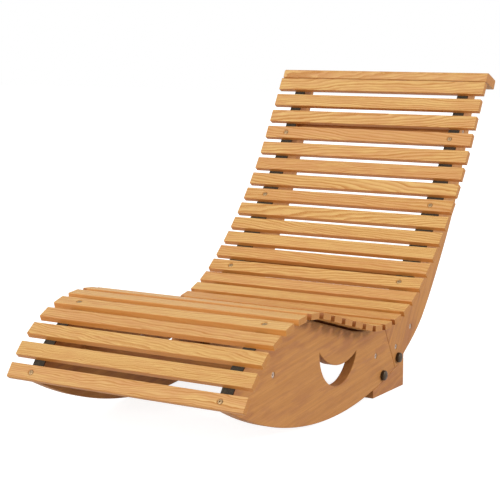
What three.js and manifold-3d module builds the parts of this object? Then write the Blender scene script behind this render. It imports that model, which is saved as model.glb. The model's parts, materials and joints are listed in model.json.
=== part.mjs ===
import * as THREE from 'three';
import { mergeVertices } from 'three/addons/utils/BufferGeometryUtils.js';
import Module from 'manifold-3d';

const wasm = await Module();
wasm.setup();

// Rocking chaise lounge: a slatted mat lies on two curved side frames that rock on the floor.
// Millimetres and degrees. X runs across the seat, -Y is the foot end, +Y the head end, +Z up.
// Side views are drawn with the rocker's resting point at the origin.

// Slats of the mat, counted from the foot
const slatLength = 600;
const slatWidth = 34;
const slatThickness = 14;
const slatRounding = 2;
const slatEndRounding = 1;
const seatSlatCount = 16;
const backSlatCount = 14;
const seatSlatSpacing = 51.4;
const backSlatSpacing = 48.9;
const footSlatDistance = 13;

// Webbing straps that hold the slats together: wide under the hips, drawn in towards both ends
const strapWidth = 48;
const strapEndWidth = 30;
const strapThickness = 3;
const strapWideFrom = 380;
const strapWideTo = 1130;
const strapTaper = 210;

// Contour of the side frames under the mat: foot run, knee, seat, hip hollow, back, neck run
const footSteepnessDegrees = 54.3;
const footRun = 29;
const kneeRadius = 283;
const kneeTurnDegrees = 70.7;
const seatRun = 204;
const hipRadius = 308;
const hipTurnDegrees = 54.5;
const backRadius = 1170;
const backTurnDegrees = 21.8;

// Side boards: the seat board carries the rocker, the back board leans on it
const boardThickness = 24;
const boardInset = 48;
const rockerRadius = 945;
const footReach = 447;
const seamDistance = 746;
const seamFoot = 309;
const tipHeight = 8;

// Depth of the back board behind the contour, at even steps from the cap rail down to the seam
const boardDepthAtRail = 43;
const boardDepthAtShoulder = 65;
const boardDepthAtWaist = 88;
const boardDepthAtLoin = 109;
const boardDepthAtHip = 134;

// Crescent hand grip through the seat board: a deep arc below and a flatter arc above it
const gripMiddle = 21;
const gripHeight = 157;
const gripRadius = 89;
const gripBrowShift = 15;
const gripBrowRise = 101;
const gripBrowRadius = 144;

// Heel block: it stops the backward rock, rebated so that its foot lies flush under the boards
const heelLead = 116;
const heelLength = 162;
const heelHeight = 128;
const heelTongueThickness = 24;

// Cap rail across the top ends of the back boards
const capRailWidth = 57;
const capRailThickness = 26;
const capRailRounding = 7;
const capRailBackRounding = 3;
const capRailGap = 4;
const capRailSetback = 4.4;
const capRailLeanDegrees = 6;

// Cross rails between the side frames
const railRounding = 3;
const frontRailHeight = 60;
const frontRailThickness = 22;
const rearRailHeight = 50;
const rearRailThickness = 24;
const rearRailSlopeDegrees = 40;
const backRailHeight = 50;
const backRailThickness = 20;
const topRailDistance = 1366;
const topRailDepth = 27;
const lumbarRailDistance = 926;
const lumbarRailDepth = 23;

// Bolts
const cappedShankRadius = 4;
const capRadius = 12;
const capHeight = 10;
const capRim = 5.5;
const nutRadius = 8;
const nutHeight = 6.5;
const steelShankRadius = 3;
const steelHeadRadius = 7;
const steelHeadHeight = 3;
const steelHeadRecess = 1.5;
const socketRadius = 2.6;
const socketDepth = 2;
const railGrip = 40;

// Bolts through the cross rails, from the foot tip and from the heel block's rear end
const frontBoltReach = 180;
const frontBoltHeight = 150;
const rearBoltReach = 36;
const rearBoltHeight = 139;

// Bolts of the heel joint: two between the block's front end and the seam, two behind the seam
const seatJointHeight = 100;
const seatJointShare = 0.135;
const lowerCappedHeight = 47;
const lowerCappedShare = 0.41;
const backJointHeight = 103;
const backJointShare = 0.42;
const upperCappedHeight = 75;
const upperCappedShare = 0.44;

// Fits
const seatGap = 0.3;
const boreClearance = 0.3;
const overrun = 5;

// Faceting
const slatCornerSteps = 2;
const contourStep = 12;
const rockerStep = 22;
const rearEdgeSteps = 24;
const gripSteps = 12;
const boltSides = 12;
const domeSteps = 3;

const boardOuter = slatLength / 2 - boardInset;
const boardInner = boardOuter - boardThickness;
const boardMiddle = (boardOuter + boardInner) / 2;
const tongueInner = boardInner - heelTongueThickness;
const heelFront = seamFoot - heelLead;
const heelRear = heelFront + heelLength;
const { degToRad: radians, lerp } = THREE.MathUtils;

// Shape x becomes the depth Y, shape y the height Z, and the extrusion runs across the seat along X
const sideView = new THREE.Matrix4().makeBasis(
  new THREE.Vector3(0, 1, 0),
  new THREE.Vector3(0, 0, 1),
  new THREE.Vector3(1, 0, 0),
);

const materials = {
  slat: new THREE.MeshStandardMaterial({ color: 0xdba764, roughness: 0.55, metalness: 0 }),
  frame: new THREE.MeshStandardMaterial({ color: 0xba8353, roughness: 0.6, metalness: 0 }),
  strap: new THREE.MeshStandardMaterial({ color: 0x2e2a27, roughness: 0.95, metalness: 0 }),
  cap: new THREE.MeshStandardMaterial({ color: 0x2b2623, roughness: 0.4, metalness: 0 }),
  steel: new THREE.MeshStandardMaterial({ color: 0xc4b8aa, roughness: 0.35, metalness: 0.9 }),
};

const chaise = new THREE.Group();

function addPiece(name, geometry, material) {
  const piece = new THREE.Mesh(geometry, material.clone());
  piece.name = name;
  chaise.add(piece);
  return piece;
}

// Solids

function toSolid(geometry) {
  const bare = geometry.clone();
  bare.deleteAttribute('normal');
  bare.deleteAttribute('uv');
  const merged = mergeVertices(bare);
  return new wasm.Manifold(new wasm.Mesh({
    numProp: 3,
    vertProperties: new Float32Array(merged.attributes.position.array),
    triVerts: new Uint32Array(merged.index.array),
  }));
}

function toGeometry(solid) {
  const mesh = solid.getMesh();
  const geometry = new THREE.BufferGeometry();
  const positions = new Float32Array(mesh.vertProperties);
  geometry.setAttribute('position', new THREE.BufferAttribute(positions, mesh.numProp));
  geometry.setIndex(new THREE.BufferAttribute(new Uint32Array(mesh.triVerts), 1));
  geometry.computeVertexNormals();
  return geometry;
}

function cut(geometry, tools) {
  let solid = toSolid(geometry);
  for (const tool of tools) {
    solid = solid.subtract(toSolid(tool));
  }
  return toGeometry(solid);
}

function slab(shape, fromX, toX, steps = 1) {
  const geometry = new THREE.ExtrudeGeometry(shape, {
    depth: toX - fromX,
    bevelEnabled: false,
    curveSegments: steps,
  });
  geometry.applyMatrix4(sideView);
  geometry.translate(fromX, 0, 0);
  return geometry;
}

function bore(place, radius, fromX, toX) {
  const geometry = new THREE.CylinderGeometry(radius, radius, toX - fromX, boltSides);
  geometry.rotateZ(-Math.PI / 2);
  geometry.translate((fromX + toX) / 2, place.y, place.z);
  return geometry;
}

// Side frames are drawn for the right side; a side of -1 gives the left one
function sideSpan(side, inner, outer) {
  return side > 0 ? [inner, outer] : [-outer, -inner];
}

// Contour: straight runs and arcs, each tangent to the one before

function rockerHeight(y) {
  return rockerRadius - Math.sqrt(rockerRadius * rockerRadius - y * y);
}

function traceContour(stretches) {
  let y = -footReach;
  let z = rockerHeight(footReach);
  let angle = radians(footSteepnessDegrees);
  let distance = 0;
  return stretches.map(({ length, turn }) => {
    const stretch = { y, z, angle, distance, length, bend: turn / length };
    const end = along(stretch, length);
    y = end.y;
    z = end.z;
    angle = end.angle;
    distance += length;
    return stretch;
  });
}

function along(stretch, run) {
  const angle = stretch.angle + stretch.bend * run;
  if (stretch.bend === 0) {
    return {
      y: stretch.y + run * Math.cos(angle),
      z: stretch.z + run * Math.sin(angle),
      angle,
      bend: 0,
    };
  }
  return {
    y: stretch.y + (Math.sin(angle) - Math.sin(stretch.angle)) / stretch.bend,
    z: stretch.z - (Math.cos(angle) - Math.cos(stretch.angle)) / stretch.bend,
    angle,
    bend: stretch.bend,
  };
}

function arcStretch(radius, turnDegrees) {
  const turn = radians(turnDegrees);
  return { length: radius * Math.abs(turn), turn };
}

const topSeatSlatDistance = footSlatDistance + (seatSlatCount - 1) * seatSlatSpacing;
const topSlatDistance = topSeatSlatDistance + backSlatCount * backSlatSpacing;
const contour = traceContour([
  { length: footRun, turn: 0 },
  arcStretch(kneeRadius, -kneeTurnDegrees),
  { length: seatRun, turn: 0 },
  arcStretch(hipRadius, hipTurnDegrees),
  arcStretch(backRadius, backTurnDegrees),
  { length: topSlatDistance, turn: 0 },
]);

function contourAt(distance) {
  let stretch = contour[0];
  for (const candidate of contour) {
    if (candidate.distance <= distance) stretch = candidate;
  }
  return along(stretch, distance - stretch.distance);
}

// A point beside the contour: depth is positive into the boards and negative above them
function beside(place, depth) {
  return new THREE.Vector2(
    place.y + Math.sin(place.angle) * depth,
    place.z - Math.cos(place.angle) * depth,
  );
}

function contourPoints(from, to) {
  const stops = contour.map((stretch) => stretch.distance).filter((stop) => stop > from && stop < to);
  const marks = [from, ...stops, to];
  const points = [];
  for (let i = 1; i < marks.length; i += 1) {
    const run = marks[i] - marks[i - 1];
    const straight = contourAt((marks[i] + marks[i - 1]) / 2).bend === 0;
    const steps = straight ? 1 : Math.ceil(run / contourStep);
    for (let step = 0; step < steps; step += 1) {
      points.push(beside(contourAt(marks[i - 1] + (run * step) / steps), 0));
    }
  }
  points.push(beside(contourAt(to), 0));
  return points;
}

// Underside of the side frames, walked from one reach to another, lowered by a clearance
function rockerPoints(from, to, lowered = 0) {
  const marks = from * to < 0 ? [from, 0, to] : [from, to];
  const points = [];
  for (let i = 1; i < marks.length; i += 1) {
    const start = Math.asin(marks[i - 1] / rockerRadius);
    const sweep = Math.asin(marks[i] / rockerRadius) - start;
    const steps = Math.ceil((Math.abs(sweep) * rockerRadius) / rockerStep);
    for (let step = 0; step < steps; step += 1) {
      const angle = start + (sweep * step) / steps;
      points.push(new THREE.Vector2(
        rockerRadius * Math.sin(angle),
        rockerRadius * (1 - Math.cos(angle)) - lowered,
      ));
    }
  }
  points.push(new THREE.Vector2(to, rockerHeight(to) - lowered));
  return points;
}

// Slats: flat battens with rounded edges, lying square across the contour

function roundedBar(width, thickness, length, roundings, endRounding) {
  const [topFront, topBack, bottomBack, bottomFront] = roundings;
  const shape = new THREE.Shape();
  const half = width / 2;
  shape.moveTo(-half + bottomBack, 0);
  shape.absarc(half - bottomFront, bottomFront, bottomFront, -Math.PI / 2, 0);
  shape.absarc(half - topFront, thickness - topFront, topFront, 0, Math.PI / 2);
  shape.absarc(-half + topBack, thickness - topBack, topBack, Math.PI / 2, Math.PI);
  shape.absarc(-half + bottomBack, bottomBack, bottomBack, Math.PI, Math.PI * 3 / 2);
  const geometry = new THREE.ExtrudeGeometry(shape, {
    depth: length - 2 * endRounding,
    bevelEnabled: endRounding > 0,
    bevelThickness: endRounding,
    bevelSize: endRounding,
    bevelOffset: -endRounding,
    bevelSegments: slatCornerSteps,
    curveSegments: slatCornerSteps / 2,
  });
  geometry.translate(0, 0, endRounding - length / 2);
  geometry.applyMatrix4(sideView);
  return geometry;
}

// A flat slat bridges a hollow stretch, so it lies higher there by the rise under its edges
function slatLift(place) {
  const rises = [-slatWidth / 2, slatWidth / 2].map((run) => {
    const edge = contourAt(place.mark + run);
    return (edge.z - place.z) * Math.cos(place.angle) - (edge.y - place.y) * Math.sin(place.angle);
  });
  return seatGap + strapThickness + seatGap + Math.max(0, ...rises);
}

function slatPlaces() {
  const places = [];
  for (let i = 0; i < seatSlatCount + backSlatCount; i += 1) {
    const seatSteps = Math.min(i, seatSlatCount - 1);
    const backSteps = i - seatSteps;
    const mark = footSlatDistance + seatSteps * seatSlatSpacing + backSteps * backSlatSpacing;
    places.push({ mark, ...contourAt(mark) });
  }
  return places;
}

function addSlats() {
  const roundings = [slatRounding, slatRounding, slatRounding, slatRounding];
  slatPlaces().forEach((place, i) => {
    const seat = i < seatSlatCount;
    const number = String(seat ? i + 1 : i + 1 - seatSlatCount).padStart(2, '0');
    const geometry = roundedBar(slatWidth, slatThickness, slatLength, roundings, slatEndRounding);
    const slat = addPiece(`${seat ? 'seat' : 'back'}_slat_${number}`, geometry, materials.slat);
    const seatPoint = beside(place, -slatLift(place));
    slat.position.set(0, seatPoint.x, seatPoint.y);
    slat.rotation.x = place.angle;
  });
}

// Straps: webbing that lies flat under every slat and runs straight across the spaces

function strapWidthAt(distance) {
  const beyond = Math.max(strapWideFrom - distance, distance - strapWideTo, 0);
  return lerp(strapWidth, strapEndWidth, Math.min(beyond / strapTaper, 1));
}

// Four corners of the strap's section at each slat edge, joined into one closed band
function addStrap(side, hand) {
  const corners = [];
  for (const place of slatPlaces()) {
    const lift = slatLift(place) - seatGap;
    for (const end of [-slatWidth / 2, slatWidth / 2]) {
      const half = strapWidthAt(place.mark + end) / 2;
      const shift = new THREE.Vector2(Math.cos(place.angle) * end, Math.sin(place.angle) * end);
      const upper = beside(place, -lift).add(shift);
      const lower = beside(place, strapThickness - lift).add(shift);
      const middle = side * boardMiddle;
      for (const [x, point] of [[-half, lower], [half, lower], [half, upper], [-half, upper]]) {
        corners.push(middle + x, point.x, point.y);
      }
    }
  }
  const sections = corners.length / 12;
  const faces = [0, 1, 2, 0, 2, 3];
  for (let section = 1; section < sections; section += 1) {
    const near = (section - 1) * 4;
    for (let edge = 0; edge < 4; edge += 1) {
      const next = (edge + 1) % 4;
      faces.push(near + edge, near + 4 + edge, near + 4 + next);
      faces.push(near + edge, near + 4 + next, near + next);
    }
  }
  const last = (sections - 1) * 4;
  faces.push(last, last + 2, last + 1, last, last + 3, last + 2);
  const geometry = new THREE.BufferGeometry();
  geometry.setAttribute('position', new THREE.Float32BufferAttribute(corners, 3));
  geometry.setIndex(faces);
  addPiece(`strap_${hand}`, geometry, materials.strap);
}

// Cap rail: its underside sets the slope on which the back boards end

const capRailPlace = contourAt(topSlatDistance + slatWidth / 2 + capRailGap);
const capRailAngle = capRailPlace.angle - Math.PI / 2 + radians(capRailLeanDegrees);
const slatFace = strapThickness + 2 * seatGap + slatThickness;
const capRailCorner = beside(capRailPlace, capRailSetback - slatFace);

function onCapRail(run, drop) {
  return new THREE.Vector2(
    capRailCorner.x + Math.cos(capRailAngle) * run + Math.sin(capRailAngle) * drop,
    capRailCorner.y + Math.sin(capRailAngle) * run - Math.cos(capRailAngle) * drop,
  );
}

function addCapRail() {
  const roundings = [capRailBackRounding, capRailRounding, capRailBackRounding, capRailBackRounding];
  const geometry = roundedBar(capRailWidth, capRailThickness, slatLength, roundings, slatEndRounding);
  const rail = addPiece('cap_rail', geometry, materials.slat);
  const middle = onCapRail(capRailWidth / 2, 0);
  rail.position.set(0, middle.x, middle.y);
  rail.rotation.x = capRailAngle;
}

// Where the back board's front edge meets the cap rail's underside
function boardTop(depth) {
  const square = capRailPlace.angle - Math.PI / 2;
  const lean = Math.tan(capRailAngle - square);
  const reach = depth + slatFace - capRailSetback;
  const rise = reach * lean - seatGap / Math.cos(capRailAngle - square);
  const { angle } = capRailPlace;
  const shift = new THREE.Vector2(Math.cos(angle) * rise, Math.sin(angle) * rise);
  return beside(capRailPlace, depth).add(shift);
}

// Heel joint: the seam between the boards runs straight from the contour down to the rocker

function seamAt(height) {
  const top = beside(contourAt(seamDistance), 0);
  const foot = rockerHeight(seamFoot);
  return lerp(seamFoot, top.x, (height - foot) / (top.y - foot));
}

function beforeSeam(share, height) {
  return { y: lerp(heelFront, seamAt(height), share), z: height };
}

function behindSeam(share, height) {
  return { y: lerp(seamAt(height), heelRear, share), z: height };
}

const seatJointBolt = beforeSeam(seatJointShare, seatJointHeight);
const lowerCappedBolt = beforeSeam(lowerCappedShare, lowerCappedHeight);
const backJointBolt = behindSeam(backJointShare, backJointHeight);
const upperCappedBolt = behindSeam(upperCappedShare, upperCappedHeight);
const frontBolt = { y: frontBoltReach - footReach, z: frontBoltHeight };
const rearBolt = { y: heelRear + rearBoltReach, z: rearBoltHeight };
const topRailPlace = contourAt(topRailDistance);
const topRailMiddle = beside(topRailPlace, topRailDepth);
const topBolt = { y: topRailMiddle.x, z: topRailMiddle.y };
const lumbarRailPlace = contourAt(lumbarRailDistance);
const lumbarRailMiddle = beside(lumbarRailPlace, lumbarRailDepth);
const lumbarBolt = { y: lumbarRailMiddle.x, z: lumbarRailMiddle.y };

// Side boards

function gripPath() {
  const reach = Math.hypot(gripBrowShift, gripBrowRise);
  const direction = Math.atan2(gripBrowRise, gripBrowShift);
  const lowerHalf = Math.acos(
    (gripRadius ** 2 + reach ** 2 - gripBrowRadius ** 2) / (2 * gripRadius * reach),
  );
  const browHalf = Math.acos(
    (gripBrowRadius ** 2 + reach ** 2 - gripRadius ** 2) / (2 * gripBrowRadius * reach),
  );
  const path = new THREE.Path();
  const browY = gripMiddle + gripBrowShift;
  const browZ = gripHeight + gripBrowRise;
  const lowerEnd = direction - lowerHalf + 2 * Math.PI;
  const browStart = direction + Math.PI + browHalf;
  path.absarc(gripMiddle, gripHeight, gripRadius, direction + lowerHalf, lowerEnd);
  path.absarc(browY, browZ, gripBrowRadius, browStart, browStart - 2 * browHalf, true);
  return path;
}

function seatBoardShape() {
  const shape = new THREE.Shape([
    ...contourPoints(0, seamDistance),
    ...rockerPoints(seamFoot, -footReach).slice(0, -1),
  ]);
  shape.holes.push(gripPath());
  return shape;
}

function rearEdge() {
  const topDistance = topSlatDistance + slatWidth / 2;
  const depths = [boardDepthAtShoulder, boardDepthAtWaist, boardDepthAtLoin, boardDepthAtHip];
  const stations = depths.map((depth, i) => {
    const share = (i + 1) / (depths.length + 1);
    return beside(contourAt(lerp(topDistance, seamDistance, share)), depth);
  });
  const tip = new THREE.Vector2(heelRear, rockerHeight(heelRear) + tipHeight);
  return new THREE.SplineCurve([boardTop(boardDepthAtRail), ...stations, tip]).getPoints(rearEdgeSteps);
}

function backBoardShape() {
  const front = contourPoints(seamDistance + seatGap, topSlatDistance + slatWidth / 2);
  return new THREE.Shape([
    ...front,
    boardTop(0),
    ...rearEdge(),
    ...rockerPoints(heelRear, seamFoot + seatGap),
  ]);
}

// A bolt's bore through a board, with a pocket for a sunk head on the outer face
function boardBores(side, steelBolts, cappedBolts) {
  const [from, to] = sideSpan(side, boardInner - overrun, boardOuter + overrun);
  const pocketFloor = boardOuter - steelHeadRecess - steelHeadHeight - boreClearance;
  const pocket = sideSpan(side, pocketFloor, boardOuter + overrun);
  return [
    ...steelBolts.map((place) => bore(place, steelShankRadius + boreClearance, from, to)),
    ...steelBolts.map((place) => bore(place, steelHeadRadius + boreClearance, ...pocket)),
    ...cappedBolts.map((place) => bore(place, cappedShankRadius + boreClearance, from, to)),
  ];
}

function addBoards(side, hand) {
  const span = sideSpan(side, boardInner, boardOuter);
  const seatBores = boardBores(side, [frontBolt, seatJointBolt], [lowerCappedBolt]);
  const seatBoard = cut(slab(seatBoardShape(), ...span, gripSteps), seatBores);
  addPiece(`seat_board_${hand}`, seatBoard, materials.frame);
  const backBores = boardBores(side, [backJointBolt, rearBolt, lumbarBolt, topBolt], [upperCappedBolt]);
  const backBoard = cut(slab(backBoardShape(), ...span), backBores);
  addPiece(`back_board_${hand}`, backBoard, materials.frame);
}

// Heel block: the tongue lies inside the two boards and the foot fills the space under their arc

function addHeelBlock(side, hand) {
  const outline = new THREE.Shape();
  outline.moveTo(heelFront, 0);
  outline.lineTo(heelRear, 0);
  outline.lineTo(heelRear, heelHeight);
  outline.lineTo(heelFront, heelHeight);
  const rebate = new THREE.Shape([
    ...rockerPoints(heelFront - overrun, heelRear + overrun, seatGap),
    new THREE.Vector2(heelRear + overrun, heelHeight + overrun),
    new THREE.Vector2(heelFront - overrun, heelHeight + overrun),
  ]);
  const whole = sideSpan(side, tongueInner, boardOuter);
  const outside = sideSpan(side, boardInner - seatGap, boardOuter + overrun);
  const through = sideSpan(side, tongueInner - overrun, boardOuter + overrun);
  const shanks = [
    [seatJointBolt, steelShankRadius],
    [backJointBolt, steelShankRadius],
    [lowerCappedBolt, cappedShankRadius],
    [upperCappedBolt, cappedShankRadius],
  ];
  const bores = shanks.map(([place, radius]) => bore(place, radius + boreClearance, ...through));
  const tools = [slab(rebate, ...outside), ...bores];
  addPiece(`heel_block_${hand}`, cut(slab(outline, ...whole), tools), materials.frame);
}

// Cross rails: upright battens bolted through the boards into their ends

function addCrossRail(name, bolt, height, thickness, slope) {
  const roundings = [railRounding, railRounding, railRounding, railRounding];
  const length = 2 * (boardInner - seatGap);
  const geometry = roundedBar(height, thickness, length, roundings, 0);
  geometry.translate(0, 0, -thickness / 2);
  const middle = { y: 0, z: 0 };
  const engaged = railGrip + overrun;
  const bores = [
    bore(middle, steelShankRadius + boreClearance, length / 2 - engaged, length / 2 + overrun),
    bore(middle, steelShankRadius + boreClearance, -length / 2 - overrun, engaged - length / 2),
  ];
  const rail = addPiece(name, cut(geometry, bores), materials.frame);
  rail.position.set(0, bolt.y, bolt.z);
  rail.rotation.x = slope;
}

// Bolts: bodies of revolution whose axis runs outward through the side frame

function turnedBolt(profile) {
  const points = profile.map(([radius, height]) => new THREE.Vector2(radius, height));
  return new THREE.LatheGeometry(points, boltSides);
}

function steelHead(shankStart) {
  const top = boardOuter - steelHeadRecess;
  return [
    ...shankStart,
    [steelShankRadius, top - steelHeadHeight],
    [steelHeadRadius, top - steelHeadHeight],
    [steelHeadRadius, top],
    [socketRadius, top],
    [socketRadius, top - socketDepth],
    [0, top - socketDepth],
  ];
}

function nutProfile(radius) {
  const seat = tongueInner - seatGap;
  return [
    [0, seat - nutHeight],
    [nutRadius, seat - nutHeight],
    [nutRadius, seat],
    [radius, seat],
  ];
}

function railBolt() {
  const end = boardInner - railGrip;
  return turnedBolt(steelHead([[0, end], [steelShankRadius, end]]));
}

function jointBolt() {
  return turnedBolt(steelHead(nutProfile(steelShankRadius)));
}

function cappedBolt() {
  const seat = boardOuter + seatGap;
  const dome = [];
  for (let step = 0; step <= domeSteps; step += 1) {
    const angle = (Math.PI / 2) * (step / domeSteps);
    const rise = (capHeight - capRim) * Math.sin(angle);
    dome.push([step === domeSteps ? 0 : capRadius * Math.cos(angle), seat + capRim + rise]);
  }
  return turnedBolt([
    ...nutProfile(cappedShankRadius),
    [cappedShankRadius, seat],
    [capRadius, seat],
    ...dome,
  ]);
}

function addBolts(side, hand) {
  const bolts = [
    ['front_rail_bolt', frontBolt, railBolt(), materials.steel],
    ['rear_rail_bolt', rearBolt, railBolt(), materials.steel],
    ['lumbar_rail_bolt', lumbarBolt, railBolt(), materials.steel],
    ['top_rail_bolt', topBolt, railBolt(), materials.steel],
    ['seat_joint_bolt', seatJointBolt, jointBolt(), materials.steel],
    ['back_joint_bolt', backJointBolt, jointBolt(), materials.steel],
    ['lower_capped_bolt', lowerCappedBolt, cappedBolt(), materials.cap],
    ['upper_capped_bolt', upperCappedBolt, cappedBolt(), materials.cap],
  ];
  for (const [name, place, geometry, material] of bolts) {
    geometry.rotateZ(-side * Math.PI / 2);
    const bolt = addPiece(`${name}_${hand}`, geometry, material);
    bolt.position.set(0, place.y, place.z);
  }
}

addSlats();
addCapRail();
for (const [side, hand] of [[1, 'right'], [-1, 'left']]) {
  addBoards(side, hand);
  addHeelBlock(side, hand);
  addStrap(side, hand);
  addBolts(side, hand);
}
addCrossRail('front_rail', frontBolt, frontRailHeight, frontRailThickness, Math.PI / 2);
addCrossRail('rear_rail', rearBolt, rearRailHeight, rearRailThickness, radians(rearRailSlopeDegrees));
addCrossRail('lumbar_rail', lumbarBolt, backRailHeight, backRailThickness, lumbarRailPlace.angle);
addCrossRail('top_rail', topBolt, backRailHeight, backRailThickness, topRailPlace.angle);

// The finished part stands on the floor with its origin under the middle of its outline
const outline = new THREE.Box3().setFromObject(chaise, true);
chaise.position.y = -(outline.min.y + outline.max.y) / 2;
chaise.updateMatrixWorld(true);

export default chaise;
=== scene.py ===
import json
import math
import bpy
import bmesh
from mathutils import Matrix, Vector

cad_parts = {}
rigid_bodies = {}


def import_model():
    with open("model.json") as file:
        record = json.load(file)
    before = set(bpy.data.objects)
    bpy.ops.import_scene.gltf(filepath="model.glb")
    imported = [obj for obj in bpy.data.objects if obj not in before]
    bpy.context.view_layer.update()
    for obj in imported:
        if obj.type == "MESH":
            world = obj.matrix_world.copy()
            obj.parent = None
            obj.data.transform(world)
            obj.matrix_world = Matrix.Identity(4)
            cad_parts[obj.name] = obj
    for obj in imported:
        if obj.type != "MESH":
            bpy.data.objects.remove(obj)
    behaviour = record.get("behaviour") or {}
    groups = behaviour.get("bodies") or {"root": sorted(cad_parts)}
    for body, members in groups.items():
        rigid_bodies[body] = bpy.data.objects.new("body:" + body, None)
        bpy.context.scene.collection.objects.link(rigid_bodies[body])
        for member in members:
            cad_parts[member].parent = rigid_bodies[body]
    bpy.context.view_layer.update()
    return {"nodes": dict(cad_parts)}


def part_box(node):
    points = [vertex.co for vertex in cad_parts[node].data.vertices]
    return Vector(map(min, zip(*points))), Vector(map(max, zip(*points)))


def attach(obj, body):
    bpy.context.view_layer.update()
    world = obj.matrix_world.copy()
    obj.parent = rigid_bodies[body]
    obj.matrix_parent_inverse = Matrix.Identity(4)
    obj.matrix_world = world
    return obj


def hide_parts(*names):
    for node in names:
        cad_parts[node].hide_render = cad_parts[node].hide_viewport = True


# Rocking chaise lounge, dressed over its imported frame.
# Metres, +X across the seat, +Y towards the head.
for leftover in list(bpy.data.objects):
    bpy.data.objects.remove(leftover)
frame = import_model()
print("frame loaded:", len(frame["nodes"]), "nodes")
mm = 0.001
hands = ((-1, "left"), (1, "right"))
acrossSeat = Vector((1, 0, 0))


def addObject(name, data, place=None):
    item = bpy.data.objects.new(name, data)
    if place is not None:
        item.matrix_world = place
    bpy.context.scene.collection.objects.link(item)
    return item


# Camera

view = {
    "place": (1.7796, -3.0076, 0.8626),
    "yawDegrees": 31.52,
    "dipDegrees": 8.54,
    "lens": 106.9,
    "sensor": 36,
    "reach": 60,
}
cameraData = bpy.data.cameras.new("photoView")
cameraData.lens = view["lens"]
cameraData.sensor_width = view["sensor"]
cameraData.clip_end = view["reach"]
camera = addObject("photoView", cameraData)
camera.location = view["place"]
camera.rotation_euler = (math.radians(90 - view["dipDegrees"]), 0, math.radians(view["yawDegrees"]))
bpy.context.scene.camera = camera
print("camera set")


# Node helpers

def newGroup(name, inputs, outputs):
    group = bpy.data.node_groups.new(name, "ShaderNodeTree")
    for label, kind, value in inputs:
        socket = group.interface.new_socket(label, in_out="INPUT", socket_type="NodeSocket" + kind)
        if value is not None:
            socket.default_value = value
    for label, kind in outputs:
        group.interface.new_socket(label, in_out="OUTPUT", socket_type="NodeSocket" + kind)
    return group, group.nodes.new("NodeGroupInput"), group.nodes.new("NodeGroupOutput")


def link(tree, source, target):
    tree.links.new(source, target)


def feed(tree, socket, value):
    if isinstance(value, bpy.types.NodeSocket):
        link(tree, value, socket)
    else:
        socket.default_value = value


def mathNode(tree, operation, *values, clamp=False):
    node = tree.nodes.new("ShaderNodeMath")
    node.operation = operation
    node.use_clamp = clamp
    for socket, value in zip(node.inputs, values):
        feed(tree, socket, value)
    return node.outputs[0]


def plus(tree, first, second, clamp=False):
    return mathNode(tree, "ADD", first, second, clamp=clamp)


def minus(tree, first, second):
    return mathNode(tree, "SUBTRACT", first, second)


def times(tree, first, second):
    return mathNode(tree, "MULTIPLY", first, second)


def vectorNode(tree, operation, *values):
    node = tree.nodes.new("ShaderNodeVectorMath")
    node.operation = operation
    for socket, value in zip(node.inputs, values):
        feed(tree, socket, value)
    return node.outputs["Value"] if operation in ("LENGTH", "DOT_PRODUCT") else node.outputs[0]


def splitVector(tree, vector):
    node = tree.nodes.new("ShaderNodeSeparateXYZ")
    feed(tree, node.inputs[0], vector)
    return node.outputs


def joinVector(tree, x, y, z):
    node = tree.nodes.new("ShaderNodeCombineXYZ")
    for socket, value in zip(node.inputs, (x, y, z)):
        feed(tree, socket, value)
    return node.outputs[0]


def remap(tree, value, fromLow, fromHigh, toLow=0.0, toHigh=1.0, smooth=True):
    node = tree.nodes.new("ShaderNodeMapRange")
    node.interpolation_type = "SMOOTHSTEP" if smooth else "LINEAR"
    for socket, item in zip(node.inputs, (value, fromLow, fromHigh, toLow, toHigh)):
        feed(tree, socket, item)
    return node.outputs[0]


def noise(tree, vector, scale=1.0, detail=2.0, roughness=0.5):
    node = tree.nodes.new("ShaderNodeTexNoise")
    feed(tree, node.inputs["Vector"], vector)
    feed(tree, node.inputs["Scale"], scale)
    feed(tree, node.inputs["Detail"], detail)
    feed(tree, node.inputs["Roughness"], roughness)
    return node.outputs


def stretchedNoise(tree, field, stretch, **settings):
    return noise(tree, vectorNode(tree, "MULTIPLY", field, stretch), **settings)


def whiteNoise(tree, number):
    node = tree.nodes.new("ShaderNodeTexWhiteNoise")
    node.noise_dimensions = "1D"
    feed(tree, node.inputs["W"], number)
    return node.outputs


def mixColor(tree, factor, first, second):
    node = tree.nodes.new("ShaderNodeMix")
    node.data_type = "RGBA"
    feed(tree, node.inputs[0], factor)
    feed(tree, node.inputs[6], first)
    feed(tree, node.inputs[7], second)
    return node.outputs[2]


def placeGroup(tree, group, **values):
    node = tree.nodes.new("ShaderNodeGroup")
    node.node_tree = group
    for label, value in values.items():
        feed(tree, node.inputs[label], value)
    return node.outputs


# A board's place, moved to a part of the noise that is its own
def shiftedField(tree, place, seed, draw, reach):
    shift = vectorNode(tree, "SCALE", whiteNoise(tree, plus(tree, seed, draw))["Color"])
    shift.node.inputs["Scale"].default_value = reach
    return vectorNode(tree, "ADD", place, shift)


# Growth rings of the log a board was sawn from: the grain runs along the board's own X

ringLook = {
    "secondDraw": 7.31,
    "field": {"draw": 3.77, "reach": 11.0},
    "wave": {"stretch": (1.0, 3.0, 3.0), "scale": 3.4},
    "ripple": {"stretch": (14.0, 50.0, 50.0)},
    "fray": {"stretch": (45.0, 420.0, 420.0), "detail": 1.0},
    "frayWidth": 0.0007,
    "leastAside": 0.35,
    "leastDepth": 0.35,
    "narrowest": 0.75,
    "widthSpan": 0.5,
    "rise": (0.22, 0.86),
    "fall": (0.93, 1.0, 1.0, 0.0),
    "faintest": 0.50,
    "yearSpan": 0.50,
    "tone": {"stretch": (2.5, 22.0, 22.0), "detail": 3.0, "roughness": 0.55},
    "blotch": {"stretch": (16.0, 75.0, 75.0)},
}


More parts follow.
